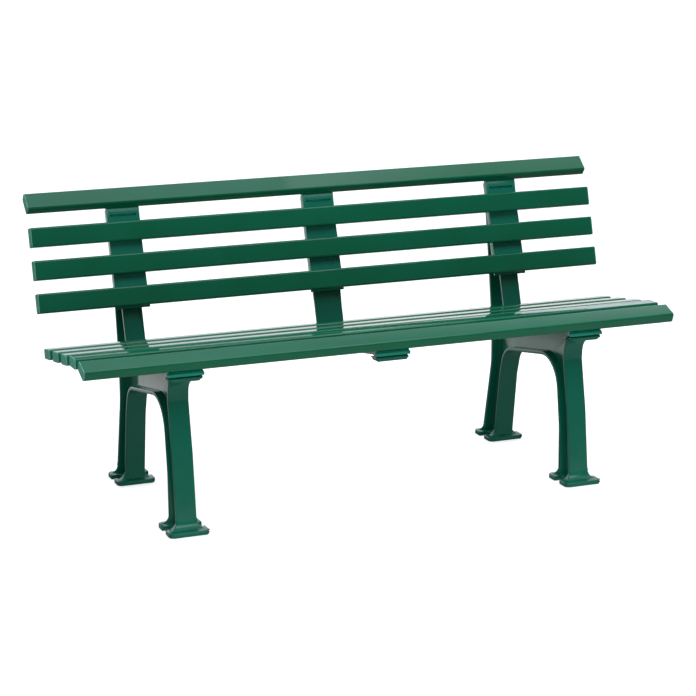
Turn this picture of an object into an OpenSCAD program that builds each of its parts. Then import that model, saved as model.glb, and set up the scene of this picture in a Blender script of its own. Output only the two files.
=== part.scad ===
// Garden bench: nine hollow plastic slats on two moulded leg frames and a middle bracket.
// Units mm, +Z up, front of the seat faces -Y, length along X.
// Origin: centre of the bench's footprint, on the ground.

/* [Overall] */
// length over the end caps
bench_length = 1500; // [1200:10:2000]
// height of the second seat slat's face above the ground
seat_height = 429; // [350:1:520]
// distance between the two leg frames' centre planes
frame_spacing = 1020; // [760:10:1500]

/* [Slats] */
// width of a slat's broad face
slat_w = 48; // [38:0.5:60]
// thickness of a slat
slat_t = 25; // [20:0.5:32]
// wall thickness of the hollow extrusion
slat_wall = 2.8; // [2:0.1:4]
// outer corner radius of the extrusion
slat_r = 5; // [1.5:0.1:6]
// thickness of an end cap's visible plate
cap_t = 3; // [2:0.1:5]
// length of an end cap's plug inside the slat
cap_plug = 16; // [10:1:30]
// gap between the plug and the slat's inner wall
cap_play = 0.2; // [0.05:0.05:0.5]

/* [Seat] */
// distance between seat slats
seat_pitch = 82.9; // [70:0.1:105]
// slope of the seat, front higher than rear
seat_fall = 8.4; // [3:0.1:12]
// tilt of the rolled front slat
front_tilt = 21.6; // [12:0.1:30]
// tilt of the second slat
second_tilt = -1.5; // [-4:0.1:2]

/* [Back] */
// distance between the three lower back slats
back_pitch = 79.8; // [68:0.1:100]
// lean of the back, from upright
back_lean = 17.1; // [10:0.1:24]
// tilt of the lower back slats' faces, from lying flat
back_slat_tilt = 75; // [68:0.1:80]
// tilt of the rolled top slat
top_tilt = 41; // [30:0.5:55]

/* [Frames] */
// width of the frames' flanges
flange_w = 50; // [40:1:60]
// width of the bead along the middle bracket's rear edge
bead_w = 14; // [10:0.5:16]
// side play between the middle bracket and the carriers' skirts
bracket_play = 1; // [0.5:0.1:2]
// flange thickness
flange_t = 9; // [6:0.5:12]
// web thickness
web_t = 7; // [5:0.5:10]
// reach of the front and rear flanges below the back, measured square to the back
upright_depth = 70; // [58:1:80]
// the same at the second back slat
upright_depth_top = 46; // [38:1:52]

/* [Feet] */
// foot plate width
foot_w = 98; // [84:1:120]
// foot plate length
foot_l = 105; // [90:1:125]
// foot plate thickness
foot_t = 11; // [8:0.5:18]
// corner radius of the foot plate
foot_r = 14; // [6:0.5:18]
// width of the anchor slots in the foot plate's sides
anchor_w = 26; // [16:0.5:28]
// depth of the anchor slots
anchor_d = 29; // [20:0.5:32]

/* [Carriers] */
// how far a carrier runs past a frame's flange on each side
carrier_side = 16; // [14:0.5:20]
// plate thickness of a slat carrier
carrier_t = 12; // [10:0.5:16]
// how far the lip at a carrier's lower or front end stands past its sides
lip_side = 3; // [1:0.5:6]
// length of that lip along the carrier
lip_l = 12; // [8:0.5:16]
// thickness of that lip
lip_t = 6.5; // [4:0.1:8]
// groove between the slat and that lip
lip_groove = 4.2; // [2:0.1:5]
// how far the lip stands out from the carrier's end
lip_reach = 9; // [6:0.5:12]
// step down of the frame's nose under that lip
nose_drop = 3.5; // [1:0.1:5]
// how far a carrier runs past the last slat
lip_over = 5; // [3:0.5:8]
// wall of a carrier's side skirts
skirt_t = 4; // [3:0.5:6]
// how far the skirts reach past the flange face
skirt_h = 8; // [4:0.5:12]

/* [Fixings] */
// distance of the slat screws outside a frame's flange
screw_gap = 5; // [4.7:0.1:6]
// slat screw shank radius
screw_r = 2.4; // [2:0.1:3]
// distance of the carrier bolts from a frame's centre plane
bolt_x = 14; // [12.5:0.5:16]
// carrier bolt shank radius
bolt_r = 4; // [3:0.5:5]

/* [Hidden] */
$fn = 40;
TUBE_L = bench_length - 2 * cap_t;
SUPPORT_X = [-frame_spacing / 2, 0, frame_spacing / 2];
SEAT_N = 5;
BACK_N = 4;
ARC_N = 9;
FOOT_Y = [5, 0];
KZ = seat_height / 429;
HEAD_T = 7;
ACCESS_R = 5;
SCREW_X = flange_w / 2 + screw_gap;
CARRIER_W = flange_w + 2 * carrier_side;
LIP_W = CARRIER_W + 2 * lip_side;
NOSE_W = CARRIER_W;
BRACKET_W = CARRIER_W - 2 * skirt_t - 2 * bracket_play;

// ---- slat places: [y, z, tilt] of the broad face's middle, y from the front edge of the seat
function seat_place(i) =
  i == 0
  ? [104 - seat_pitch * 0.9916, seat_height - 3.4, front_tilt]
  : [104 + (i - 1) * seat_pitch * cos(seat_fall),
     seat_height - (i - 1) * seat_pitch * sin(seat_fall),
     i == 1 ? second_tilt : -seat_fall];
function back_dir() = [sin(back_lean), cos(back_lean)];
function back_out() = [cos(back_lean), -sin(back_lean)];
function back_base() =
  let(s = seat_place(SEAT_N - 1)) [s[0] + slat_w / 2 + 40.5, s[1] + 2 * slat_w + 1];
function back_place(i) =
  i == BACK_N - 1
  ? let(p = back_base() + 2 * back_pitch * back_dir() + back_pitch * 1.16 * [0.434, 0.901])
    [p[0], p[1], top_tilt]
  : let(p = back_base() + i * back_pitch * back_dir()) [p[0], p[1], back_slat_tilt];

// ---- corners of a slat: along the face (k = -1 front or lower edge, 1 rear or upper edge)
function face_u(p) = [cos(p[2]), sin(p[2])];
function face_n(p) = [-sin(p[2]), cos(p[2])];
function slat_pt(p, along, deep) = [p[0], p[1]] + along * face_u(p) - deep * face_n(p);
function rear_lo(p) = slat_pt(p, -slat_w / 2, slat_t);
function rear_hi(p) = slat_pt(p, slat_w / 2, slat_t);

// ---- 2D helpers
function unit(v) = v / norm(v);
function meet(p, d, q, e) =
  let(k = d[0] * e[1] - d[1] * e[0], w = q - p) p + d * ((w[0] * e[1] - w[1] * e[0]) / k);
function round_at(a, b, c, r) =
  let(u = unit(a - b), v = unit(c - b), g = acos(u * v))
  (r < 0.05 || g > 179) ? [b]
  : let(m = b + unit(u + v) * (r / sin(g / 2)),
        s = b + u * (r / tan(g / 2)) - m,
        e = b + v * (r / tan(g / 2)) - m,
        a0 = atan2(s[1], s[0]),
        da = ((atan2(e[1], e[0]) - a0 + 540) % 360) - 180)
    [for (i = [0:ARC_N]) m + r * [cos(a0 + da * i / ARC_N), sin(a0 + da * i / ARC_N)]];
function rounded(q) =
  let(n = len(q))
  [for (i = [0:n - 1])
    each round_at([q[(i + n - 1) % n][0], q[(i + n - 1) % n][1]], [q[i][0], q[i][1]],
                  [q[(i + 1) % n][0], q[(i + 1) % n][1]], q[i][2])];
function inset(q, d) =
  let(n = len(q))
  [for (i = [0:n - 1])
    let(a = [q[(i + n - 1) % n][0], q[(i + n - 1) % n][1]],
        b = [q[i][0], q[i][1]],
        c = [q[(i + 1) % n][0], q[(i + 1) % n][1]],
        e0 = unit(b - a), e1 = unit(c - b),
        n0 = [e0[1], -e0[0]], n1 = [e1[1], -e1[0]],
        m = b + (n0 + n1) * (d / (1 + n0 * n1)),
        turn = e0[0] * e1[1] - e0[1] * e1[0])
    [m[0], m[1], q[i][2] < 0.05 ? 0 : (turn < 0 ? max(q[i][2] - d, 0) : q[i][2] + d)]];

// ---- carrier and flange lines
S1 = seat_place(0);
S2 = seat_place(1);
S5 = seat_place(SEAT_N - 1);
B4 = back_place(0);
B2 = back_place(2);
B1 = back_place(BACK_N - 1);
UNDER = slat_t + carrier_t;
SEAT_DIR = [cos(seat_fall), -sin(seat_fall)];
SEAT_DOWN = [-sin(seat_fall), -cos(seat_fall)];
SEAT_P = [S2[0], S2[1]] + UNDER * SEAT_DOWN;
FRONT_P = slat_pt(S1, -slat_w / 2 - lip_over, UNDER);
CREST = meet(FRONT_P, face_u(S1), SEAT_P, SEAT_DIR);
BACK_P = [B4[0], B4[1]] + UNDER * back_out();
HEEL = meet(SEAT_P, SEAT_DIR, BACK_P, back_dir());
TOP_P = slat_pt(B1, 0, UNDER);
NECK = meet(BACK_P, back_dir(), TOP_P, face_u(B1));
CROWN = slat_pt(B1, slat_w / 2 - 6, UNDER);
BACK_P2 = [B2[0], B2[1]] + UNDER * back_out();
REAR_Y = HEEL[0] - 409.2;
FRONT_FOOT = 5;
REAR_FOOT = 446.6 + REAR_Y;
Y_MIN = slat_pt(S1, slat_r - slat_w / 2, slat_r)[0] - slat_r;
Y_MAX = REAR_FOOT + foot_l;
MID_Y = (Y_MIN + Y_MAX) / 2;

// ---- outline of the upright's front and rear faces, front nose to heel to crown, clockwise
NOSE_Z = FRONT_P[1] - 14;
// core = true gives the line the hollow between the flanges follows, blunt at the thin tips
REAR_HI = BACK_P2 + upright_depth_top * back_out();
REAR_LO = BACK_P + upright_depth * back_out();
TIP = [CROWN[0] + 7, CROWN[1] - 8];
TIP_CORE = meet(CROWN, face_u(B1), TIP, unit(TIP - REAR_HI));
function nose_tip(core) = core
  ? [[FRONT_P[0] + 13, NOSE_Z + 2, 0], [FRONT_P[0] + 13, FRONT_P[1] + 13 * tan(front_tilt), 0]]
  : [[FRONT_P[0] + 4, NOSE_Z + 2, 3],
     [FRONT_P[0] + 1.5, FRONT_P[1] + 0.6 - nose_drop, 3],
     [FRONT_P[0] + 11, FRONT_P[1] + 4.2 - nose_drop, 2],
     [FRONT_P[0] + 13, FRONT_P[1] + 13 * tan(front_tilt), 0]];
function crown_tip(core) = core
  ? [[TIP_CORE[0], TIP_CORE[1], 0]]
  : [[CROWN[0], CROWN[1], 4], [TIP[0], TIP[1], 4]];
function top_path(core) = concat(
  nose_tip(core),
  [[CREST[0], CREST[1], 30],
   [HEEL[0], HEEL[1], 26],
   [NECK[0], NECK[1], 22]],
  crown_tip(core));
function rear_path() = [
  [REAR_HI[0] + 1, REAR_HI[1] + 4, 200],
  [REAR_LO[0], REAR_LO[1], 320]];
SOLE = -20;
function frame_outline(core = false) = concat(
  [[FRONT_FOOT + 28, SOLE, 0],
   [FRONT_FOOT + 30, 50 * KZ, 120],
   [FRONT_FOOT + 45, 185 * KZ, 200],
   [FRONT_FOOT + 68.5, 308 * KZ, 20],
   [FRONT_FOOT + 63, NOSE_Z, 44]],
  top_path(core), rear_path(),
  [[HEEL[0] + 87, HEEL[1] - 40, 200],
   [HEEL[0] + 87, 212 * KZ, 160],
   [REAR_FOOT + 92, 20, 60],
   [REAR_FOOT + 93, SOLE, 0],
   [REAR_FOOT + 22, SOLE, 0],
   [HEEL[0] + 27, HEEL[1] - 161, 130],
   [HEEL[0] + 4, HEEL[1] - 90, 56],
   [FRONT_FOOT + 118, CREST[1] - 91, 78],
   [FRONT_FOOT + 93, 130 * KZ, 200],
   [FRONT_FOOT + 92, SOLE, 0]]);
function bracket_outline(core = false) = concat(
  top_path(core), rear_path(),
  [[HEEL[0] + 80, HEEL[1] - 50, 56],
   [FRONT_FOOT + 62, NOSE_Z + 2, 60],
   [FRONT_FOOT + 40, NOSE_Z, 20]]);
// the bracket's wide flange: the band along the top path alone
function bracket_band() =
  let(q = inset(bracket_outline(true), flange_t))
  concat(top_path(false), [for (i = [5:-1:1]) q[i]]);

// ---- placing helpers
module at_bench() { translate([0, -MID_Y, 0]) children(); }
module side_extrude(w) { rotate([90, 0, 90]) linear_extrude(height = w, center = true) children(); }
module on_slat(p) { translate([0, p[0], p[1]]) rotate([p[2], 0, 0]) children(); }
module on_line(p, a) { translate([0, p[0], p[1]]) rotate([a, 0, 0]) children(); }

// ---- slat extrusion, its face at z = 0 and its length along X
module rounded_box_2d(w, h, r) {
  square([w - 2 * r, h], center = true);
  square([w, h - 2 * r], center = true);
  for (sx = [-1, 1], sy = [-1, 1])
    translate([sx * (w / 2 - r), sy * (h / 2 - r)])
      circle(r = r);
}
CHAMBER_W = (slat_w - 3 * slat_wall) / 2;
CHAMBER_H = slat_t - 2 * slat_wall;
CHAMBER_Y = (CHAMBER_W + slat_wall) / 2;
module slat_body() {
  difference() {
    translate([0, 0, -slat_t / 2])
      side_extrude(TUBE_L)
        difference() {
          rounded_box_2d(slat_w, slat_t, slat_r);
          for (s = [-1, 1])
            translate([s * CHAMBER_Y, 0])
              rounded_box_2d(CHAMBER_W, CHAMBER_H, 1);
        }
    for (x = SUPPORT_X, s = [-1, 1], t = [-1, 1])
      translate([x + s * SCREW_X, t * CHAMBER_Y * 0.6, -slat_t - 1])
        cylinder(r = screw_r + 0.1, h = slat_wall + 2);
  }
}
module seat_slat(i) { color("#1b5e48") at_bench() on_slat(seat_place(i)) slat_body(); }
module back_slat(i) { color("#1b5e48") at_bench() on_slat(back_place(i)) slat_body(); }
module seat_slat_1() { seat_slat(0); }
module seat_slat_2() { seat_slat(1); }
module seat_slat_3() { seat_slat(2); }
module seat_slat_4() { seat_slat(3); }
module seat_slat_5() { seat_slat(4); }
module back_slat_1() { back_slat(3); }
module back_slat_2() { back_slat(2); }
module back_slat_3() { back_slat(1); }
module back_slat_4() { back_slat(0); }

// ---- end cap for one slat end, s = -1 left, 1 right
module cap_body(s) {
  translate([s * (TUBE_L / 2 + cap_t / 2), 0, -slat_t / 2])
    side_extrude(cap_t)
      rounded_box_2d(slat_w, slat_t, slat_r);
  for (k = [-1, 1])
    translate([s * (TUBE_L / 2 - cap_plug / 2), 0, -slat_t / 2])
      side_extrude(cap_plug)
        translate([k * CHAMBER_Y, 0])
          difference() {
            rounded_box_2d(CHAMBER_W - 2 * cap_play, CHAMBER_H - 2 * cap_play, 0.8);
            rounded_box_2d(CHAMBER_W - 2 * cap_play - 4, CHAMBER_H - 2 * cap_play - 4, 0.8);
          }
}
module seat_caps(s) { color("#2e6b57") at_bench() for (i = [0:SEAT_N - 1]) on_slat(seat_place(i)) cap_body(s); }
module back_caps(s) { color("#2e6b57") at_bench() for (i = [0:BACK_N - 1]) on_slat(back_place(i)) cap_body(s); }
module seat_end_caps_left() { seat_caps(-1); }
module seat_end_caps_right() { seat_caps(1); }
module back_end_caps_left() { back_caps(-1); }
module back_end_caps_right() { back_caps(1); }

// ---- bolt stations: [point on the flange face, angle of the line]
function seat_station(i) =
  let(p = seat_place(i)) [meet([p[0], p[1]], SEAT_DOWN, SEAT_P, SEAT_DIR), -seat_fall];
function back_station(i) =
  let(p = back_place(i)) [meet([p[0], p[1]], back_out(), BACK_P, back_dir()), 90 - back_lean];
SEAT_BOLTS = [seat_station(1), seat_station(4)];
BACK_BOLTS = [back_station(0), back_station(2)];
module each_bolt(stations) {
  for (b = stations, s = [-1, 1])
    on_line(b[0], b[1])
      translate([s * bolt_x, 0, 0])
        children();
}
module all_bolt_holes(r) {
  each_bolt(SEAT_BOLTS) translate([0, 0, -flange_t - 6]) cylinder(r = r, h = flange_t + 12);
  each_bolt(BACK_BOLTS) translate([0, 0, -flange_t - 6]) cylinder(r = r, h = flange_t + 12);
}

// ---- foot plate with its anchor slots, front left corner of the plate at y0
module foot_plate(y0) {
  translate([0, y0 + foot_l / 2, 0])
    linear_extrude(height = foot_t)
      difference() {
        rounded_box_2d(foot_w, foot_l, foot_r);
        for (s = [-1, 1])
          anchor_slot_2d(s);
      }
}
module anchor_slot_2d(s) {
  translate([s * (foot_w / 2 - anchor_d + anchor_w / 2), 0])
    circle(r = anchor_w / 2);
  translate([s * (foot_w / 2 - anchor_d + anchor_w / 2 + anchor_w), 0])
    square([2 * anchor_w, anchor_w], center = true);
}
// outline seen from the front: flange width, spreading into the foot plate with a hollow curve
SPREAD_R = (foot_w - flange_w) / 2 - 1;
function spread_pts() =
  let(w = flange_w / 2 - 0.8, r = SPREAD_R, h = foot_t - 0.5, top = foot_t + SPREAD_R + 3)
  concat(
    [for (i = [0:8]) [w + r - r * cos(i * 90 / 8), h + r - r * sin(i * 90 / 8)]],
    [[w + r, h - 6], [-w - r, h - 6]],
    [for (i = [8:-1:0]) [-w - r + r * cos(i * 90 / 8), h + r - r * sin(i * 90 / 8)]],
    [[-w, top], [w, top]]);
module spread_body(y0, y1) {
  translate([0, (y0 + y1) / 2, 0])
    rotate([90, 0, 0])
      linear_extrude(height = y1 - y0, center = true)
        polygon(spread_pts());
}
function toe_pts(y) =
  let(r = 24, h = foot_t - 0.5)
  concat(
    [for (i = [0:8]) [y - r + r * cos(i * 90 / 8), h + r - r * sin(i * 90 / 8)]],
    [[y - r, h - 6], [y + 4, h - 6], [y + 4, h + r]]);
module front_toe(y) {
  intersection() {
    side_extrude(foot_w) polygon(toe_pts(y));
    spread_body(y - 30, y + 20);
  }
}

// ---- I-section body from an outline; 2D pieces seen from the side
module above_ground_2d() {
  intersection() {
    children();
    translate([-200, 4])
      square([1400, 1400]);
  }
}
// the part of a frame that widens to the nose; leg = true takes in the top of the front leg
module nose_zone_2d(leg = false) {
  translate([FRONT_P[0] - 20, NOSE_Z - 36])
    square([60, 90]);
  if (leg)
    translate([FRONT_P[0] + 39, NOSE_Z - 36])
      square([42, 40]);
}
module flange_2d(outline, core) {
  above_ground_2d()
    difference() {
      polygon(rounded(outline));
      polygon(rounded(inset(core, flange_t)));
    }
}
module i_section(outline, core, width, leg = false) {
  side_extrude(width)
    difference() {
      flange_2d(outline, core);
      nose_zone_2d(leg);
    }
  side_extrude(web_t)
    above_ground_2d()
      polygon(rounded(outline));
}
// hollow curve widening the front flange to the nose
function nose_pts(width) =
  let(r = (NOSE_W - width) / 2, k = min(1.9, 34 / max(r, 1)), z = NOSE_Z + 7 - k * r)
  concat(
    [[width / 2, z - 20]],
    [for (i = [0:8]) [width / 2 + r - r * cos(i * 90 / 8), z + k * r * sin(i * 90 / 8)]],
    [[NOSE_W / 2, NOSE_Z + 60], [-NOSE_W / 2, NOSE_Z + 60]],
    [for (i = [8:-1:0]) [-width / 2 - r + r * cos(i * 90 / 8), z + k * r * sin(i * 90 / 8)]],
    [[-width / 2, z - 20]]);
module nose_body(outline, core, width, leg = false) {
  intersection() {
    side_extrude(NOSE_W + 10)
      intersection() {
        flange_2d(outline, core);
        nose_zone_2d(leg);
      }
    rotate([90, 0, 0])
      linear_extrude(height = 400, center = true)
        polygon(nose_pts(width));
  }
}
module leg_frame_body() {
  difference() {
    union() {
      i_section(frame_outline(), frame_outline(true), flange_w, true);
      nose_body(frame_outline(), frame_outline(true), flange_w, true);
      foot_plate(FRONT_FOOT);
      foot_plate(REAR_FOOT);
      front_toe(FRONT_FOOT + 30);
      front_toe(REAR_FOOT + 25);
      spread_body(FRONT_FOOT + 32, FRONT_FOOT + 37);
      spread_body(FRONT_FOOT + 85, FRONT_FOOT + 91);
      spread_body(REAR_FOOT + 22, REAR_FOOT + 28);
      spread_body(REAR_FOOT + 85, REAR_FOOT + 91);
    }
    all_bolt_holes(bolt_r + 0.3);
  }
}
module leg_frame(x) { color("#17523f") at_bench() translate([x, 0, 0]) leg_frame_body(); }
module leg_frame_left() { leg_frame(SUPPORT_X[0]); }
module leg_frame_right() { leg_frame(SUPPORT_X[2]); }
module bracket_body() {
  i_section(bracket_outline(), bracket_outline(true), bead_w);
  side_extrude(BRACKET_W)
    difference() {
      polygon(rounded(bracket_band()));
      nose_zone_2d();
    }
  nose_body(bracket_outline(), bracket_outline(true), BRACKET_W);
}
module middle_bracket() {
  color("#17523f")
    at_bench()
      difference() {
        bracket_body();
        all_bolt_holes(bolt_r + 0.3);
        for (i = [0:SEAT_N - 1]) screw_access(seat_place(i));
        for (i = [0:BACK_N - 1]) screw_access(back_place(i));
      }
}

// ---- slat carriers
BODY_END = -slat_w / 2 - lip_over + lip_reach;
function seat_saddle() = concat(
  [slat_pt(S1, BODY_END, slat_t)],
  [for (i = [0:SEAT_N - 1], h = [0, 1]) h == 0 ? rear_lo(seat_place(i)) : rear_hi(seat_place(i))],
  [slat_pt(S5, slat_w / 2 + 4, slat_t)]);
SEAT_END = meet(slat_pt(S5, slat_w / 2 + 4, 0), SEAT_DOWN, SEAT_P, SEAT_DIR);
function seat_carrier_pts() = concat(seat_saddle(), [SEAT_END, CREST, slat_pt(S1, BODY_END, UNDER)]);
function seat_skirt_pts() = [
  CREST + 6 * SEAT_DIR, SEAT_END, SEAT_END + skirt_h * SEAT_DOWN, CREST + 14 * SEAT_DIR + skirt_h * SEAT_DOWN];
function back_saddle() = concat(
  [slat_pt(B4, BODY_END, slat_t)],
  [for (i = [0:BACK_N - 1], h = [0, 1]) h == 0 ? rear_lo(back_place(i)) : rear_hi(back_place(i))]);
BACK_END = meet(slat_pt(B4, BODY_END, slat_t), face_n(B4), BACK_P, back_dir());
TOP_END = slat_pt(B1, slat_w / 2, UNDER);
function back_carrier_pts() = concat(back_saddle(), [TOP_END, NECK, BACK_END]);
function back_skirt_pts() = [
  BACK_END, NECK, NECK + skirt_h * unit(back_out() - face_n(B1)), BACK_END + 6 * back_dir() + skirt_h * back_out()];
module screw_access(p) {
  on_slat(p)
    for (s = [-1, 1], t = [-1, 1])
      translate([s * SCREW_X, t * CHAMBER_Y * 0.6, -slat_t - carrier_t - flange_t - 5])
        cylinder(r = ACCESS_R, h = flange_t + 8);
}
module screw_cuts(p) {
  on_slat(p)
    for (s = [-1, 1], t = [-1, 1])
      translate([s * SCREW_X, t * CHAMBER_Y * 0.6, -slat_t]) {
        translate([0, 0, -HEAD_T - 1])
          cylinder(r = screw_r + 0.3, h = HEAD_T + 2);
        translate([0, 0, -HEAD_T - 40])
          cylinder(r = ACCESS_R, h = 40);
      }
}
module carrier_body(pts, skirt, lip_at, stations) {
  difference() {
    union() {
      side_extrude(CARRIER_W) polygon(pts);
      for (s = [-1, 1])
        translate([s * (CARRIER_W - skirt_t) / 2, 0, 0])
          side_extrude(skirt_t)
            polygon(skirt);
      on_slat(lip_at)
        translate([0, -slat_w / 2 - lip_over + lip_l / 2, -slat_t - lip_groove - lip_t / 2])
          cube([LIP_W, lip_l, lip_t], center = true);
    }
    each_bolt(stations)
      translate([0, 0, -1])
        cylinder(r = bolt_r + 0.3, h = 40);
    each_bolt(stations)
      translate([0, 0, carrier_t - 6.5])
        cylinder(r = 7.2, h = 40);
  }
}
// blind pin holes between the two upper back slats
PIN_R = 2.6;
PIN_DEPTH = 6;
module pin_holes() {
  a = rear_hi(B2);
  b = rear_lo(B1);
  on_line((a + b) / 2, atan2(b[1] - a[1], b[0] - a[0]))
    for (s = [-1, 1])
      translate([s * SCREW_X, 0, -PIN_DEPTH])
        cylinder(r = PIN_R, h = PIN_DEPTH + 3);
}
module seat_carrier(x) {
  color("#1a5a46")
    at_bench()
      translate([x, 0, 0])
        difference() {
          carrier_body(seat_carrier_pts(), seat_skirt_pts(), S1, SEAT_BOLTS);
          for (i = [0:SEAT_N - 1]) screw_cuts(seat_place(i));
        }
}
module back_carrier(x) {
  color("#1a5a46")
    at_bench()
      translate([x, 0, 0])
        difference() {
          carrier_body(back_carrier_pts(), back_skirt_pts(), B4, BACK_BOLTS);
          for (i = [0:BACK_N - 1]) screw_cuts(back_place(i));
          pin_holes();
        }
}
module seat_carrier_left() { seat_carrier(SUPPORT_X[0]); }
module seat_carrier_middle() { seat_carrier(SUPPORT_X[1]); }
module seat_carrier_right() { seat_carrier(SUPPORT_X[2]); }
module back_carrier_left() { back_carrier(SUPPORT_X[0]); }
module back_carrier_middle() { back_carrier(SUPPORT_X[1]); }
module back_carrier_right() { back_carrier(SUPPORT_X[2]); }

// ---- fixings
module slat_screws(p) {
  on_slat(p)
    for (x = SUPPORT_X, s = [-1, 1], t = [-1, 1])
      translate([x + s * SCREW_X, t * CHAMBER_Y * 0.6, -slat_t]) {
        translate([0, 0, -HEAD_T])
          cylinder(r = screw_r, h = HEAD_T + slat_wall + 7);
        translate([0, 0, -HEAD_T - 3])
          cylinder(r = 4.5, h = 3);
      }
}
module seat_slat_screws() { color("#8a8d8f") at_bench() for (i = [0:SEAT_N - 1]) slat_screws(seat_place(i)); }
module back_slat_screws() { color("#8a8d8f") at_bench() for (i = [0:BACK_N - 1]) slat_screws(back_place(i)); }
module bolt_body() {
  translate([0, 0, -flange_t - 9])
    cylinder(r = bolt_r, h = flange_t + 9 + carrier_t - 6.5);
  translate([0, 0, carrier_t - 6.5])
    cylinder(r = 6.5, h = 4);
}
module nut_body() {
  translate([0, 0, -flange_t - 6.5])
    difference() {
      cylinder(r = 7.5, h = 6.5, $fn = 6);
      translate([0, 0, -1])
        cylinder(r = bolt_r + 0.1, h = 9);
    }
}
module carrier_bolts() {
  color("#8a8d8f")
    at_bench()
      for (x = SUPPORT_X)
        translate([x, 0, 0]) {
          each_bolt(SEAT_BOLTS) bolt_body();
          each_bolt(BACK_BOLTS) bolt_body();
        }
}
module carrier_nuts() {
  color("#8a8d8f")
    at_bench()
      for (x = SUPPORT_X)
        translate([x, 0, 0]) {
          each_bolt(SEAT_BOLTS) nut_body();
          each_bolt(BACK_BOLTS) nut_body();
        }
}

seat_slat_1();
seat_slat_2();
seat_slat_3();
seat_slat_4();
seat_slat_5();
back_slat_1();
back_slat_2();
back_slat_3();
back_slat_4();
seat_end_caps_left();
seat_end_caps_right();
back_end_caps_left();
back_end_caps_right();
leg_frame_left();
leg_frame_right();
middle_bracket();
seat_carrier_left();
seat_carrier_middle();
seat_carrier_right();
back_carrier_left();
back_carrier_middle();
back_carrier_right();
seat_slat_screws();
back_slat_screws();
carrier_bolts();
carrier_nuts();
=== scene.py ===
"""Garden bench: nine hollow plastic slats on two moulded leg frames and a middle bracket.

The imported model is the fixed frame. Slats, end caps, frames, carriers and fixings are
modelled here around it, each in the place and size that its CAD node gives.
"""

import logging
import math
from dataclasses import dataclass
from enum import Enum
from typing import Callable, Sequence

import bmesh
import bpy
from mathutils import Matrix, Vector


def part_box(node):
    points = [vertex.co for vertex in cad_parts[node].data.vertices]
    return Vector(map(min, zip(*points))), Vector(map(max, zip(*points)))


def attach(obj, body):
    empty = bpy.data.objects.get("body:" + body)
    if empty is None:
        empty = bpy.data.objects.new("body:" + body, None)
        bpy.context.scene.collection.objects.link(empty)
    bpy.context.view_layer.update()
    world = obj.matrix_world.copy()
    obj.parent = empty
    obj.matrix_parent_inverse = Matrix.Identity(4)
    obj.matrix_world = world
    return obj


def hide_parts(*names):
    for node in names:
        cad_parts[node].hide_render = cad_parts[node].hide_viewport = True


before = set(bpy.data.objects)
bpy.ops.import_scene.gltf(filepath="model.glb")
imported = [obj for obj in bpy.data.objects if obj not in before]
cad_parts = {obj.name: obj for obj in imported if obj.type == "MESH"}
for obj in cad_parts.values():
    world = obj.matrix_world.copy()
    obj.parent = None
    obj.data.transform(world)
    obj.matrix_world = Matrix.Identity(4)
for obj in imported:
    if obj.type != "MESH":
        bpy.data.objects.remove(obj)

LOG = logging.getLogger("garden_bench")
BODY = "root"
MM = 0.001
SUPPORTS = ("left", "middle", "right")

SLAT_WIDTH = 48 * MM
SLAT_THICKNESS = 25 * MM
SLAT_CORNER = 5 * MM
# how far a face's normal has to point along X for it to be an end, and at most for a side
END_LOOK = 0.9
SIDE_LOOK = 0.1
# corners of a CAD mesh that are nearer than this are one corner
MERGE_GAP = 0.02 * MM

# sockets that Blender's Mix node has one name for, by their numbers
COLOUR_A, COLOUR_B, COLOUR_OUT = 6, 7, 2
LEVEL_A, LEVEL_B, LEVEL_OUT = 2, 3, 0


# ---- small helpers -----------------------------------------------------------------


def linear(hex_colour: str) -> tuple[float, float, float, float]:
    """Turns an sRGB hex colour into Blender's linear one.

    Args:
        hex_colour: six hex digits, with or without the leading mark.

    Returns:
        Linear red, green, blue and an alpha of one.
    """
    digits = hex_colour.lstrip("#")
    parts = [int(digits[i : i + 2], 16) / 255 for i in (0, 2, 4)]
    red, green, blue = (
        p / 12.92 if p <= 0.04045 else ((p + 0.055) / 1.055) ** 2.4 for p in parts
    )
    return red, green, blue, 1.0


def add_node(
    tree: bpy.types.NodeTree,
    kind: str,
    settings: dict[str, object] | None = None,
    links: dict[str | int, object] | None = None,
) -> bpy.types.Node:
    """Adds one shader node with its settings and links.

    Args:
        tree: the node tree that takes the node.
        kind: Blender's name for the node type.
        settings: values for the node's properties, or for inputs of that name.
        links: an output socket for each named or numbered input.

    Returns:
        The new node.
    """
    node = tree.nodes.new(kind)
    for name, value in (settings or {}).items():
        if isinstance(name, int) or name in node.inputs:
            node.inputs[name].default_value = value
        else:
            setattr(node, name, value)
    for name, socket in (links or {}).items():
        tree.links.new(socket, node.inputs[name])
    return node


def only(obj: bpy.types.Object) -> None:
    """Leaves this object alone selected and active.

    Args:
        obj: the object.
    """
    bpy.ops.object.select_all(action="DESELECT")
    obj.select_set(True)
    bpy.context.view_layer.objects.active = obj


class Element(Enum):
    """The kind of mesh element that is picked, with its place in the mesh."""

    EDGE = "edges"
    FACE = "faces"


def pick(obj: bpy.types.Object, element: Element, test: Callable[..., bool]) -> None:
    """Selects just the edges or faces that pass a test, in edit mode.

    Args:
        obj: the object, already in edit mode.
        element: whether edges or faces are picked.
        test: says whether one of them is wanted.
    """
    bm = bmesh.from_edit_mesh(obj.data)
    bpy.ops.mesh.select_mode(type=element.name)
    bpy.ops.mesh.select_all(action="DESELECT")
    for item in getattr(bm, element.value):
        if test(item):
            item.select_set(True)
    bmesh.update_edit_mesh(obj.data)


def reach_along(edge: bmesh.types.BMEdge) -> float:
    """Gives an edge's length along the bench."""
    return abs((edge.verts[0].co - edge.verts[1].co).x)


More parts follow.
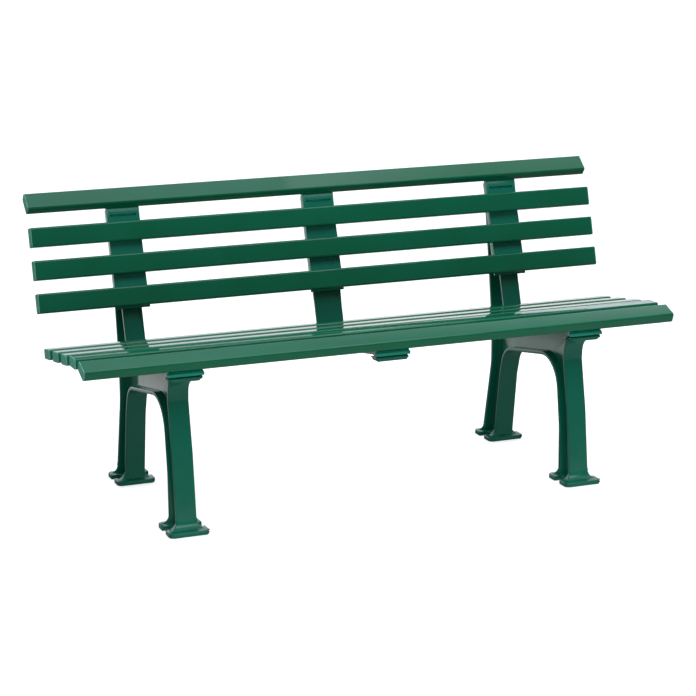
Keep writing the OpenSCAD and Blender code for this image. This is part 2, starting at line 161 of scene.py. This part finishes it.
def rims_end(edge: bmesh.types.BMEdge, way: int) -> bool:
    """Says whether an edge lies between a side and one end face of a slat or cap.

    Args:
        edge: the edge.
        way: 1 for the end that looks right, -1 for the one that looks left.

    Returns:
        Whether it does.
    """
    looks = [face.normal.x * way for face in edge.link_faces]
    flattest = min((abs(look) for look in looks), default=1.0)
    return len(looks) == 2 and max(looks) > END_LOOK and flattest < SIDE_LOOK


def apply_modifiers(obj: bpy.types.Object) -> None:
    """Applies every modifier on an object, in order.

    Args:
        obj: the object.
    """
    only(obj)
    for modifier in list(obj.modifiers):
        bpy.ops.object.modifier_apply(modifier=modifier.name)


def settle(obj: bpy.types.Object) -> None:
    """Puts an object's place, turn and size into its mesh."""
    only(obj)
    bpy.ops.object.transform_apply(location=True, rotation=True, scale=True)


def join(parts: Sequence[bpy.types.Object], name: str) -> bpy.types.Object:
    """Joins several objects into one piece.

    Args:
        parts: the objects, all meshes.
        name: the name of the joined piece.

    Returns:
        The one object that is left.
    """
    bpy.ops.object.select_all(action="DESELECT")
    for part in parts:
        part.select_set(True)
    bpy.context.view_layer.objects.active = parts[0]
    if len(parts) > 1:
        bpy.ops.object.join()
    joined = bpy.context.view_layer.objects.active
    joined.name = name
    joined.data.name = name
    settle(joined)
    return joined


def smooth(obj: bpy.types.Object, angle: float) -> None:
    """Shades a piece smooth except across edges sharper than an angle in degrees."""
    only(obj)
    bpy.ops.object.shade_smooth_by_angle(angle=math.radians(angle))


def finish_piece(
    obj: bpy.types.Object, material: bpy.types.Material, slot: str, *nodes: str
) -> bpy.types.Object:
    """Gives a new piece its material, slot and body, and the CAD nodes it stands for.

    Args:
        obj: the finished piece.
        material: its material.
        slot: not used.
        nodes: the CAD nodes that it replaces.

    Returns:
        The same object.
    """
    obj.data.materials.clear()
    obj.data.materials.append(material)
    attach(obj, BODY)
    if nodes:
        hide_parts(*nodes)
    LOG.info("%s: %d faces, %s", obj.name, len(obj.data.polygons), material.name)
    return obj


def solid_copy(node: str, name: str) -> bpy.types.Object:
    """Makes a merged copy of a CAD node.

    Args:
        node: the CAD node's name.
        name: the copy's name.

    Returns:
        The copy, with its normals pointing outwards.
    """
    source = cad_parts[node]
    obj = bpy.data.objects.new(name, source.data.copy())
    bpy.context.scene.collection.objects.link(obj)
    obj.data.name = name
    only(obj)
    bpy.ops.object.mode_set(mode="EDIT")
    bpy.ops.mesh.select_all(action="SELECT")
    bpy.ops.mesh.customdata_custom_splitnormals_clear()
    bpy.ops.mesh.remove_doubles(threshold=MERGE_GAP)
    bpy.ops.mesh.normals_make_consistent(inside=False)
    bpy.ops.object.mode_set(mode="OBJECT")
    return obj


def round_edges(
    obj: bpy.types.Object, radius_mm: float, angle: float, segments: int
) -> None:
    """Rounds an object's sharp edges as a mould does.

    Args:
        obj: the object.
        radius_mm: the edge radius in millimetres.
        angle: the least angle of an edge that is rounded, in degrees.
        segments: the faces across a rounding.
    """
    bevel = obj.modifiers.new("rounding", "BEVEL")
    bevel.width = radius_mm * MM
    bevel.segments = segments
    bevel.limit_method = "ANGLE"
    bevel.angle_limit = math.radians(angle)
    bevel.use_clamp_overlap = False
    bevel.miter_outer = "MITER_ARC"
    bevel.harden_normals = False
    apply_modifiers(obj)


# ---- finishes ----------------------------------------------------------------------

# cloudy change of pigment, a hand's width across, and the part of its noise that counts
CLOUD_MM = 111.1
CLOUD_RANGE = (0.3, 0.7)
# smudges and dust, a thumb's width across, and the part of their noise that counts
SMUDGE_MM = 22.22
SMUDGE_RANGE = (0.35, 0.75)
RIPPLE_DEPTH_MM = 0.4
# a draw line's width, as a share of its length
DRAW_SHARE = 0.02
# the grey mottle of a zinc plating
MOTTLE_MM = 1.4286
MOTTLE_DEPTH_MM = 0.1


def per_metre(size_mm: float) -> float:
    """Turns a pattern's size in millimetres into a texture scale."""
    return 1 / (size_mm * MM)


def empty_material(name: str) -> bpy.types.Material:
    """Makes a material whose node tree is empty.

    Args:
        name: the material's name.

    Returns:
        The material.
    """
    material = bpy.data.materials.new(name)
    material.use_nodes = True
    material.node_tree.nodes.clear()
    return material


class Grain(Enum):
    """The direction a surface pattern runs in."""

    ALONG = "along the slat"
    EVEN = "the same all ways"


@dataclass(frozen=True)
class PlasticFinish:
    """A coloured thermoplastic surface with its gloss, ripple and fine dust."""

    name: str
    colour: str
    tint: str
    roughness: float
    rough_spread: float
    ripple_mm: float
    ripple_strength: float
    grain: Grain
    specular: float = 0.5
    ior: float = 1.5

    def make(self) -> bpy.types.Material:
        """Builds the material.

        Returns:
            The material, patterned on Object coordinates.
        """
        material = empty_material(self.name)
        tree = material.node_tree
        where = add_node(tree, "ShaderNodeTexCoord").outputs["Object"]
        along = DRAW_SHARE if self.grain is Grain.ALONG else 1.0
        ripple_scale = per_metre(self.ripple_mm)
        lay = add_node(
            tree,
            "ShaderNodeMapping",
            {"Scale": (along * ripple_scale, ripple_scale, ripple_scale)},
            {"Vector": where},
        )
        ripple = add_node(
            tree,
            "ShaderNodeTexNoise",
            {"Scale": 1.0, "Detail": 3.0, "Roughness": 0.55},
            {"Vector": lay.outputs["Vector"]},
        )
        cloud = add_node(
            tree,
            "ShaderNodeTexNoise",
            {"Scale": per_metre(CLOUD_MM), "Detail": 2.0},
            {"Vector": where},
        )
        cloud_range = add_node(
            tree,
            "ShaderNodeMapRange",
            {"From Min": CLOUD_RANGE[0], "From Max": CLOUD_RANGE[1]},
            {"Value": cloud.outputs["Fac"]},
        )
        pigment = add_node(
            tree,
            "ShaderNodeMix",
            {"data_type": "RGBA"},
            {"Factor": cloud_range.outputs["Result"]},
        )
        pigment.inputs[COLOUR_A].default_value = linear(self.colour)
        pigment.inputs[COLOUR_B].default_value = linear(self.tint)
        # smudges and dust dull the gloss
        smudge = add_node(
            tree,
            "ShaderNodeTexNoise",
            {"Scale": per_metre(SMUDGE_MM), "Detail": 5.0},
            {"Vector": where},
        )
        rough = add_node(
            tree,
            "ShaderNodeMapRange",
            {
                "From Min": SMUDGE_RANGE[0],
                "From Max": SMUDGE_RANGE[1],
                "To Min": self.roughness,
                "To Max": self.roughness + self.rough_spread,
            },
            {"Value": smudge.outputs["Fac"]},
        )
        bump = add_node(
            tree,
            "ShaderNodeBump",
            {"Strength": self.ripple_strength, "Distance": RIPPLE_DEPTH_MM * MM},
            {"Height": ripple.outputs["Fac"]},
        )
        shader = add_node(
            tree,
            "ShaderNodeBsdfPrincipled",
            {"Metallic": 0.0, "IOR": self.ior, "Specular IOR Level": self.specular},
            {
                "Base Color": pigment.outputs[COLOUR_OUT],
                "Roughness": rough.outputs["Result"],
                "Normal": bump.outputs["Normal"],
            },
        )
        add_node(
            tree, "ShaderNodeOutputMaterial", None, {"Surface": shader.outputs["BSDF"]}
        )
        return material


@dataclass(frozen=True)
class SteelFinish:
    """Zinc-plated steel, bright with a faint grey mottle."""

    name: str = "zinc_plated_steel"
    colour: str = "C9CBCB"
    shade: str = "9EA2A4"
    smoothest: float = 0.24
    roughest: float = 0.44

    def make(self) -> bpy.types.Material:
        """Builds the material.

        Returns:
            The material, patterned on Object coordinates.
        """
        material = empty_material(self.name)
        tree = material.node_tree
        where = add_node(tree, "ShaderNodeTexCoord").outputs["Object"]
        mottle = add_node(
            tree,
            "ShaderNodeTexNoise",
            {"Scale": per_metre(MOTTLE_MM), "Detail": 3.0},
            {"Vector": where},
        )
        tone = add_node(
            tree, "ShaderNodeMix", {"data_type": "RGBA"}, {"Factor": mottle.outputs["Fac"]}
        )
        tone.inputs[COLOUR_A].default_value = linear(self.colour)
        tone.inputs[COLOUR_B].default_value = linear(self.shade)
        rough = add_node(
            tree,
            "ShaderNodeMapRange",
            {"To Min": self.smoothest, "To Max": self.roughest},
            {"Value": mottle.outputs["Fac"]},
        )
        bump = add_node(
            tree,
            "ShaderNodeBump",
            {"Strength": 0.15, "Distance": MOTTLE_DEPTH_MM * MM},
            {"Height": mottle.outputs["Fac"]},
        )
        shader = add_node(
            tree,
            "ShaderNodeBsdfPrincipled",
            {"Metallic": 1.0},
            {
                "Base Color": tone.outputs[COLOUR_OUT],
                "Roughness": rough.outputs["Result"],
                "Normal": bump.outputs["Normal"],
            },
        )
        add_node(
            tree, "ShaderNodeOutputMaterial", None, {"Surface": shader.outputs["BSDF"]}
        )
        return material


# PVC extrusion: a die-smooth, glossy skin with faint draw lines along its length
SLAT_PVC = PlasticFinish(
    name="extruded_pvc_green",
    colour="10805C",
    tint="0E7A56",
    roughness=0.07,
    rough_spread=0.05,
    ripple_mm=2.2,
    ripple_strength=0.05,
    grain=Grain.ALONG,
)
# injection-moulded polypropylene: glossy, slightly bluer, with a soft orange-peel ripple
FRAME_PP = PlasticFinish(
    name="moulded_polypropylene_green",
    colour="107B62",
    tint="0E745C",
    roughness=0.15,
    rough_spread=0.06,
    ripple_mm=9.0,
    ripple_strength=0.05,
    grain=Grain.EVEN,
)
# the frames' plastic with a paler colour that is painted light, standing in for the light
# and reflection the carriers catch; a rougher mould makes its shine softer
CARRIER_PP_PAINTED_LIGHT = PlasticFinish(
    name="moulded_carrier_polypropylene",
    # the paler colour and tint are painted light, not a paler pigment
    colour="18A287",
    tint="169A80",
    roughness=0.2,
    rough_spread=0.06,
    ripple_mm=8.0,
    ripple_strength=0.05,
    grain=Grain.EVEN,
)
# moulded polyethylene plugs: a fine spark-eroded texture that scatters the light
CAP_PE = PlasticFinish(
    name="moulded_cap_polyethylene",
    colour="7ED0B6",
    tint="76C6AC",
    roughness=0.6,
    rough_spread=0.12,
    ripple_mm=0.7,
    ripple_strength=0.25,
    grain=Grain.EVEN,
    specular=0.05,
)


# ---- slats and caps ----------------------------------------------------------------


def broad_normal(node: str) -> Vector:
    """Finds which way a slat's broad upper face looks.

    Args:
        node: the slat's CAD node.

    Returns:
        The outward normal of its largest face that looks up.
    """
    upward = 0.05
    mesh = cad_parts[node].data
    face = max((p for p in mesh.polygons if p.normal.z > upward), key=lambda p: p.area)
    return face.normal.normalized()


class Side(Enum):
    """A side of the bench, and the way its ends look along X."""

    LEFT = -1
    RIGHT = 1


@dataclass
class Slat:
    """One hollow extruded slat."""

    node: str
    width: float = SLAT_WIDTH
    thickness: float = SLAT_THICKNESS
    corner: float = SLAT_CORNER
    corner_steps: int = 10
    end_break: float = 0.35 * MM
    end_steps: int = 2
    shade_angle: float = 30.0

    def build(self, material: bpy.types.Material) -> bpy.types.Object:
        """Models the slat as an extrusion with rounded corners.

        Args:
            material: the slat's material.

        Returns:
            The finished piece.
        """
        low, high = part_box(self.node)
        normal = broad_normal(self.node)
        tilt = math.atan2(-normal.y, normal.z)
        bpy.ops.object.select_all(action="DESELECT")
        bpy.ops.mesh.primitive_cube_add(
            size=1,
            location=(low + high) / 2,
            rotation=(tilt, 0, 0),
            scale=(high.x - low.x, self.width, self.thickness),
        )
        obj = bpy.context.active_object
        obj.name = obj.data.name = self.node + "_extrusion"
        settle(obj)
        bpy.ops.object.mode_set(mode="EDIT")
        pick(obj, Element.EDGE, lambda e: reach_along(e) > self.width)
        bpy.ops.mesh.bevel(offset=self.corner, segments=self.corner_steps, affect="EDGES")
        pick(obj, Element.EDGE, lambda e: any(rims_end(e, side.value) for side in Side))
        bpy.ops.mesh.bevel(offset=self.end_break, segments=self.end_steps, affect="EDGES")
        bpy.ops.object.mode_set(mode="OBJECT")
        smooth(obj, self.shade_angle)
        return finish_piece(obj, material, "slat_profile", self.node)


@dataclass
class CapRow:
    """The end caps along one side of the seat or the back."""

    node: str
    slats: Sequence[str]
    side: Side
    plate: float = 3 * MM
    width: float = SLAT_WIDTH
    thickness: float = SLAT_THICKNESS
    corner: float = SLAT_CORNER
    corner_steps: int = 8
    edge: float = 2.0 * MM
    edge_steps: int = 6
    rim: float = 1.2 * MM
    dish: float = 0.25 * MM
    dish_wall: float = 0.3 * MM
    back_break: float = 0.3 * MM
    flat_look: float = 0.999
    shade_angle: float = 32.0

    def cap(self, slat: str) -> bpy.types.Object:
        """Models one cap: a rounded plate with a raised rim and a shallow dished middle.

        Args:
            slat: the CAD node of the slat that it closes.

        Returns:
            The cap, as a loose object.
        """
        low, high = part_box(slat)
        normal = broad_normal(slat)
        tilt = math.atan2(-normal.y, normal.z)
        way = self.side.value
        end = high.x if self.side is Side.RIGHT else low.x
        middle = (low + high) / 2
        bpy.ops.object.select_all(action="DESELECT")
        bpy.ops.mesh.primitive_cube_add(
            size=1,
            location=(end + way * self.plate / 2, middle.y, middle.z),
            rotation=(tilt, 0, 0),
            scale=(self.plate, self.width, self.thickness),
        )
        obj = bpy.context.active_object
        settle(obj)
        bpy.ops.object.mode_set(mode="EDIT")
        pick(obj, Element.EDGE, lambda e: reach_along(e) > self.plate / 2)
        bpy.ops.mesh.bevel(offset=self.corner, segments=self.corner_steps, affect="EDGES")
        pick(obj, Element.EDGE, lambda e: rims_end(e, way))
        bpy.ops.mesh.bevel(offset=self.edge, segments=self.edge_steps, affect="EDGES")
        pick(obj, Element.FACE, lambda f: f.normal.x * way > self.flat_look)
        bpy.ops.mesh.inset(thickness=self.rim, depth=0)
        bpy.ops.mesh.inset(thickness=self.dish_wall, depth=-self.dish)
        pick(obj, Element.EDGE, lambda e: rims_end(e, -way))
        bpy.ops.mesh.bevel(offset=self.back_break, segments=1, affect="EDGES")
        bpy.ops.object.mode_set(mode="OBJECT")
        return obj

    def build(self, material: bpy.types.Material) -> bpy.types.Object:
        """Models the row of caps as one piece.

        Args:
            material: the caps' material.

        Returns:
            The finished piece.
        """
        obj = join([self.cap(slat) for slat in self.slats], self.node + "_moulded")
        smooth(obj, self.shade_angle)
        return finish_piece(obj, material, "end_cap", self.node)


# ---- frames and carriers -----------------------------------------------------------


@dataclass
class Moulding:
    """A moulded piece that keeps its CAD shape and gets the mould's rounded edges."""

    node: str
    slot: str
    radius_mm: float
    angle: float = 38.0
    segments: int = 3
    shade_angle: float = 40.0
    suffix: str = "_moulded"

    def build(self, material: bpy.types.Material) -> bpy.types.Object:
        """Makes the rounded copy and dresses it.

        Args:
            material: the piece's material.

        Returns:
            The finished piece.
        """
        obj = solid_copy(self.node, self.node + self.suffix)
        round_edges(obj, self.radius_mm, self.angle, self.segments)
        smooth(obj, self.shade_angle)
        return finish_piece(obj, material, self.slot, self.node)


# ---- studio ------------------------------------------------------------------------


@dataclass(frozen=True)
class Softbox:
    """One rectangular soft light, with its places and size in metres and power in watts."""

    name: str
    place: tuple[float, float, float]
    target: tuple[float, float, float]
    size: tuple[float, float]
    power: float
    mirrored: bool = True

    def make(self) -> bpy.types.Object:
        """Adds the light, which glossy surfaces show only if it is mirrored.

        Returns:
            The light.
        """
        data = bpy.data.lights.new(self.name, "AREA")
        data.shape = "RECTANGLE"
        data.size, data.size_y = self.size
        data.energy = self.power
        obj = bpy.data.objects.new(self.name, data)
        look = Vector(self.target) - Vector(self.place)
        obj.rotation_euler = look.to_track_quat("-Z", "Y").to_euler()
        obj.location = self.place
        obj.visible_glossy = self.mirrored
        obj.visible_camera = False
        bpy.context.scene.collection.objects.link(obj)
        return obj


@dataclass
class Studio:
    """Camera, pale floor and soft light."""

    place: tuple[float, float, float] = (-1.8984, -4.8137, 1.5980)
    azimuth: float = -21.43
    elevation: float = 13.66
    roll: float = -0.43
    lens: float = 111.39
    sensor: float = 36.0
    sight: float = 200.0
    floor_size: float = 60.0
    floor_depth: float = 0.5 * MM
    floor_glow: float = 0.72
    card_depth: float = 1.0 * MM
    # how bright the surround is on the camera's side, behind the bench, overhead and below
    near_level: float = 0.11
    far_level: float = 1.1
    top_level: float = 1.3
    ground_level: float = 0.06
    # where those levels change, as shares of a unit direction along Y and up Z
    near_to_far: tuple[float, float] = (0.0, 0.9)
    side_to_top: tuple[float, float] = (0.8, 0.99)
    ground_to_side: tuple[float, float] = (-0.12, 0.02)
    # a cool tint, as from a window
    surround_tint: tuple[float, float, float, float] = (0.93, 1.0, 1.1, 1.0)
    # the bounce card's brightness at places from its near to its far side, in metres along Y
    card_reach: float = 4.0
    card_levels: tuple[tuple[float, float], ...] = (
        (-4.0, 0.05),
        (-1.7, 0.06),
        (-1.0, 0.14),
        (-0.55, 0.38),
        (-0.15, 0.30),
        (0.35, 0.12),
        (0.9, 0.45),
        (1.5, 1.1),
    )
    softboxes: tuple[Softbox, ...] = (
        Softbox(
            name="overhead_softbox",
            place=(2.1, 0.0, 3.2),
            target=(2.1, 0.0, 0.0),
            size=(2.8, 1.7),
            power=11.0,
        ),
        Softbox(
            name="front_softbox",
            place=(0.1, -1.75, 3.0),
            target=(0.0, 0.0, 0.5),
            size=(3.8, 1.3),
            power=27.0,
        ),
        Softbox(
            name="floor_strip",
            place=(-0.1, -0.95, 0.02),
            target=(-0.1, -0.15, 0.5),
            size=(3.0, 0.5),
            power=6.0,
            mirrored=False,
        ),
    )

    def camera(self) -> bpy.types.Object:
        """Adds the camera at the product view.

        Returns:
            The camera.
        """
        angles = (self.azimuth, self.elevation, self.roll)
        turn, rise, roll = (math.radians(angle) for angle in angles)
        level = math.cos(rise)
        back = Vector((math.sin(turn) * level, -math.cos(turn) * level, math.sin(rise)))
        right = Vector((0, 0, 1)).cross(back).normalized()
        up = back.cross(right)
        turned = right * math.cos(roll) + up * math.sin(roll)
        upright = up * math.cos(roll) - right * math.sin(roll)
        matrix = Matrix((turned, upright, back)).transposed().to_4x4()
        matrix.translation = Vector(self.place)
        data = bpy.data.cameras.new("product_camera")
        data.lens = self.lens
        data.sensor_width = self.sensor
        data.clip_end = self.sight
        obj = bpy.data.objects.new("product_camera", data)
        obj.matrix_world = matrix
        bpy.context.scene.collection.objects.link(obj)
        bpy.context.scene.camera = obj
        return obj

    def sheet(self, name: str, depth: float) -> bpy.types.Object:
        """Adds a flat sheet as wide as the studio.

        Args:
            name: the sheet's name.
            depth: how far it lies under the bench's feet, in metres.

        Returns:
            The sheet.
        """
        bpy.ops.object.select_all(action="DESELECT")
        bpy.ops.mesh.primitive_plane_add(size=self.floor_size, location=(0, 0, -depth))
        obj = bpy.context.active_object
        obj.name = name
        return obj

    def floor(self) -> bpy.types.Object:
        """Adds the plain pale floor.

        Returns:
            The floor.
        """
        obj = self.sheet("studio_floor", self.floor_depth)
        material = empty_material("matte_white_sweep")
        tree = material.node_tree
        paint = add_node(tree, "ShaderNodeBsdfDiffuse", {"Color": linear("F4F4F4")})
        glow = add_node(
            tree,
            "ShaderNodeEmission",
            {"Color": linear("FFFFFF"), "Strength": self.floor_glow},
        )
        both = add_node(
            tree,
            "ShaderNodeAddShader",
            None,
            {0: paint.outputs["BSDF"], 1: glow.outputs["Emission"]},
        )
        add_node(tree, "ShaderNodeOutputMaterial", None, {"Surface": both.outputs[0]})
        obj.data.materials.append(material)
        obj.visible_glossy = False
        obj.visible_diffuse = False
        obj.visible_shadow = False
        return obj

    def bounce_card(self) -> bpy.types.Object:
        """Adds the card that glossy faces mirror, bright behind the bench and dark under it.

        Returns:
            The card.
        """
        obj = self.sheet("bounce_card", self.card_depth)
        material = empty_material("graded_bounce_card")
        tree = material.node_tree
        where = add_node(tree, "ShaderNodeTexCoord").outputs["Object"]
        axes = add_node(tree, "ShaderNodeSeparateXYZ", None, {"Vector": where})
        reach = add_node(
            tree,
            "ShaderNodeMapRange",
            {"From Min": -self.card_reach, "From Max": self.card_reach},
            {"Value": axes.outputs["Y"]},
        )
        ramp = add_node(
            tree, "ShaderNodeValToRGB", None, {"Fac": reach.outputs["Result"]}
        )
        stops = ramp.color_ramp.elements
        while len(stops) < len(self.card_levels):
            stops.new(0.5)
        for stop, (y, level) in zip(stops, self.card_levels):
            stop.position = (y + self.card_reach) / (2 * self.card_reach)
            stop.color = (level, level, level, 1)
        glow = add_node(
            tree, "ShaderNodeEmission", {"Strength": 1.0}, {"Color": ramp.outputs["Color"]}
        )
        add_node(tree, "ShaderNodeOutputMaterial", None, {"Surface": glow.outputs[0]})
        obj.data.materials.append(material)
        obj.visible_camera = False
        obj.visible_shadow = False
        obj.visible_diffuse = False
        return obj

    def surround(self) -> None:
        """Lights the bench from a bright rear and top and a dim camera side."""
        world = bpy.data.worlds.new("studio_surround")
        bpy.context.scene.world = world
        world.use_nodes = True
        tree = world.node_tree
        tree.nodes.clear()
        way = add_node(tree, "ShaderNodeTexCoord").outputs["Generated"]
        axes = add_node(tree, "ShaderNodeSeparateXYZ", None, {"Vector": way})
        depth = add_node(
            tree,
            "ShaderNodeMapRange",
            {
                "interpolation_type": "SMOOTHSTEP",
                "From Min": self.near_to_far[0],
                "From Max": self.near_to_far[1],
                "To Min": self.near_level,
                "To Max": self.far_level,
            },
            {"Value": axes.outputs["Y"]},
        )
        rise = add_node(
            tree,
            "ShaderNodeMapRange",
            {
                "interpolation_type": "SMOOTHSTEP",
                "From Min": self.side_to_top[0],
                "From Max": self.side_to_top[1],
            },
            {"Value": axes.outputs["Z"]},
        )
        light = add_node(
            tree,
            "ShaderNodeMix",
            {"data_type": "FLOAT"},
            {0: rise.outputs["Result"], LEVEL_A: depth.outputs["Result"]},
        )
        light.inputs[LEVEL_B].default_value = self.top_level
        ground = add_node(
            tree,
            "ShaderNodeMapRange",
            {
                "interpolation_type": "SMOOTHSTEP",
                "From Min": self.ground_to_side[0],
                "From Max": self.ground_to_side[1],
                "To Min": self.ground_level,
                "To Max": 1.0,
            },
            {"Value": axes.outputs["Z"]},
        )
        level = add_node(
            tree,
            "ShaderNodeMath",
            {"operation": "MULTIPLY"},
            {0: light.outputs[LEVEL_OUT], 1: ground.outputs["Result"]},
        )
        lamp = add_node(
            tree,
            "ShaderNodeBackground",
            {"Color": self.surround_tint},
            {"Strength": level.outputs[0]},
        )
        white = add_node(
            tree, "ShaderNodeBackground", {"Color": linear("FFFFFF"), "Strength": 1.0}
        )
        seen = add_node(tree, "ShaderNodeLightPath").outputs["Is Camera Ray"]
        both = add_node(
            tree,
            "ShaderNodeMixShader",
            None,
            {0: seen, 1: lamp.outputs[0], 2: white.outputs[0]},
        )
        add_node(tree, "ShaderNodeOutputWorld", None, {"Surface": both.outputs[0]})

    def build(self) -> None:
        """Sets up the whole studio."""
        self.camera()
        self.floor()
        self.bounce_card()
        self.surround()
        for softbox in self.softboxes:
            softbox.make()
        scene = bpy.context.scene
        scene.view_settings.view_transform = "Standard"
        scene.view_settings.look = "None"


# ---- the bench ---------------------------------------------------------------------


@dataclass
class Bench:
    """The whole bench, sub-assembly by sub-assembly."""

    seat: tuple[str, ...] = tuple(f"seat_slat_{i}" for i in range(1, 6))
    back: tuple[str, ...] = tuple(f"back_slat_{i}" for i in range(1, 5))
    frame_edge_mm: float = 2.0
    carrier_edge_mm: float = 1.0
    fixing_edges_mm: tuple[tuple[str, float], ...] = (
        ("seat_slat_screws", 0.9),
        ("back_slat_screws", 0.9),
        ("carrier_bolts", 0.8),
        ("carrier_nuts", 0.6),
    )
    fixing_angle: float = 45.0

    def slats(self) -> None:
        """Builds the nine slats."""
        material = SLAT_PVC.make()
        for node in self.seat + self.back:
            Slat(node).build(material)

    def caps(self) -> None:
        """Builds the four rows of end caps."""
        material = CAP_PE.make()
        for side in Side:
            word = side.name.lower()
            CapRow(f"seat_end_caps_{word}", self.seat, side).build(material)
            CapRow(f"back_end_caps_{word}", self.back, side).build(material)

    def frames(self) -> None:
        """Builds the leg frames and the middle bracket."""
        material = FRAME_PP.make()
        for node in ("leg_frame_left", "leg_frame_right", "middle_bracket"):
            Moulding(node, "frame_moulding", self.frame_edge_mm).build(material)

    def carriers(self) -> None:
        """Builds the six slat carriers."""
        material = CARRIER_PP_PAINTED_LIGHT.make()
        for part in ("seat", "back"):
            for place in SUPPORTS:
                node = f"{part}_carrier_{place}"
                Moulding(node, "carrier_moulding", self.carrier_edge_mm).build(material)

    def fixings(self) -> None:
        """Builds the screws, bolts and nuts with their turned and pressed edges."""
        material = SteelFinish().make()
        for node, radius in self.fixing_edges_mm:
            Moulding(
                node, "zinc_steel", radius, angle=self.fixing_angle, suffix="_plated"
            ).build(material)

    def build(self) -> None:
        """Builds everything in order."""
        self.slats()
        self.caps()
        self.frames()
        self.carriers()
        self.fixings()


def main() -> None:
    """Builds the bench and the studio."""
    logging.basicConfig(level=logging.INFO, format="%(name)s %(message)s")
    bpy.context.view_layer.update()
    Bench().build()
    Studio().build()


if __name__ == "__main__":
    main()
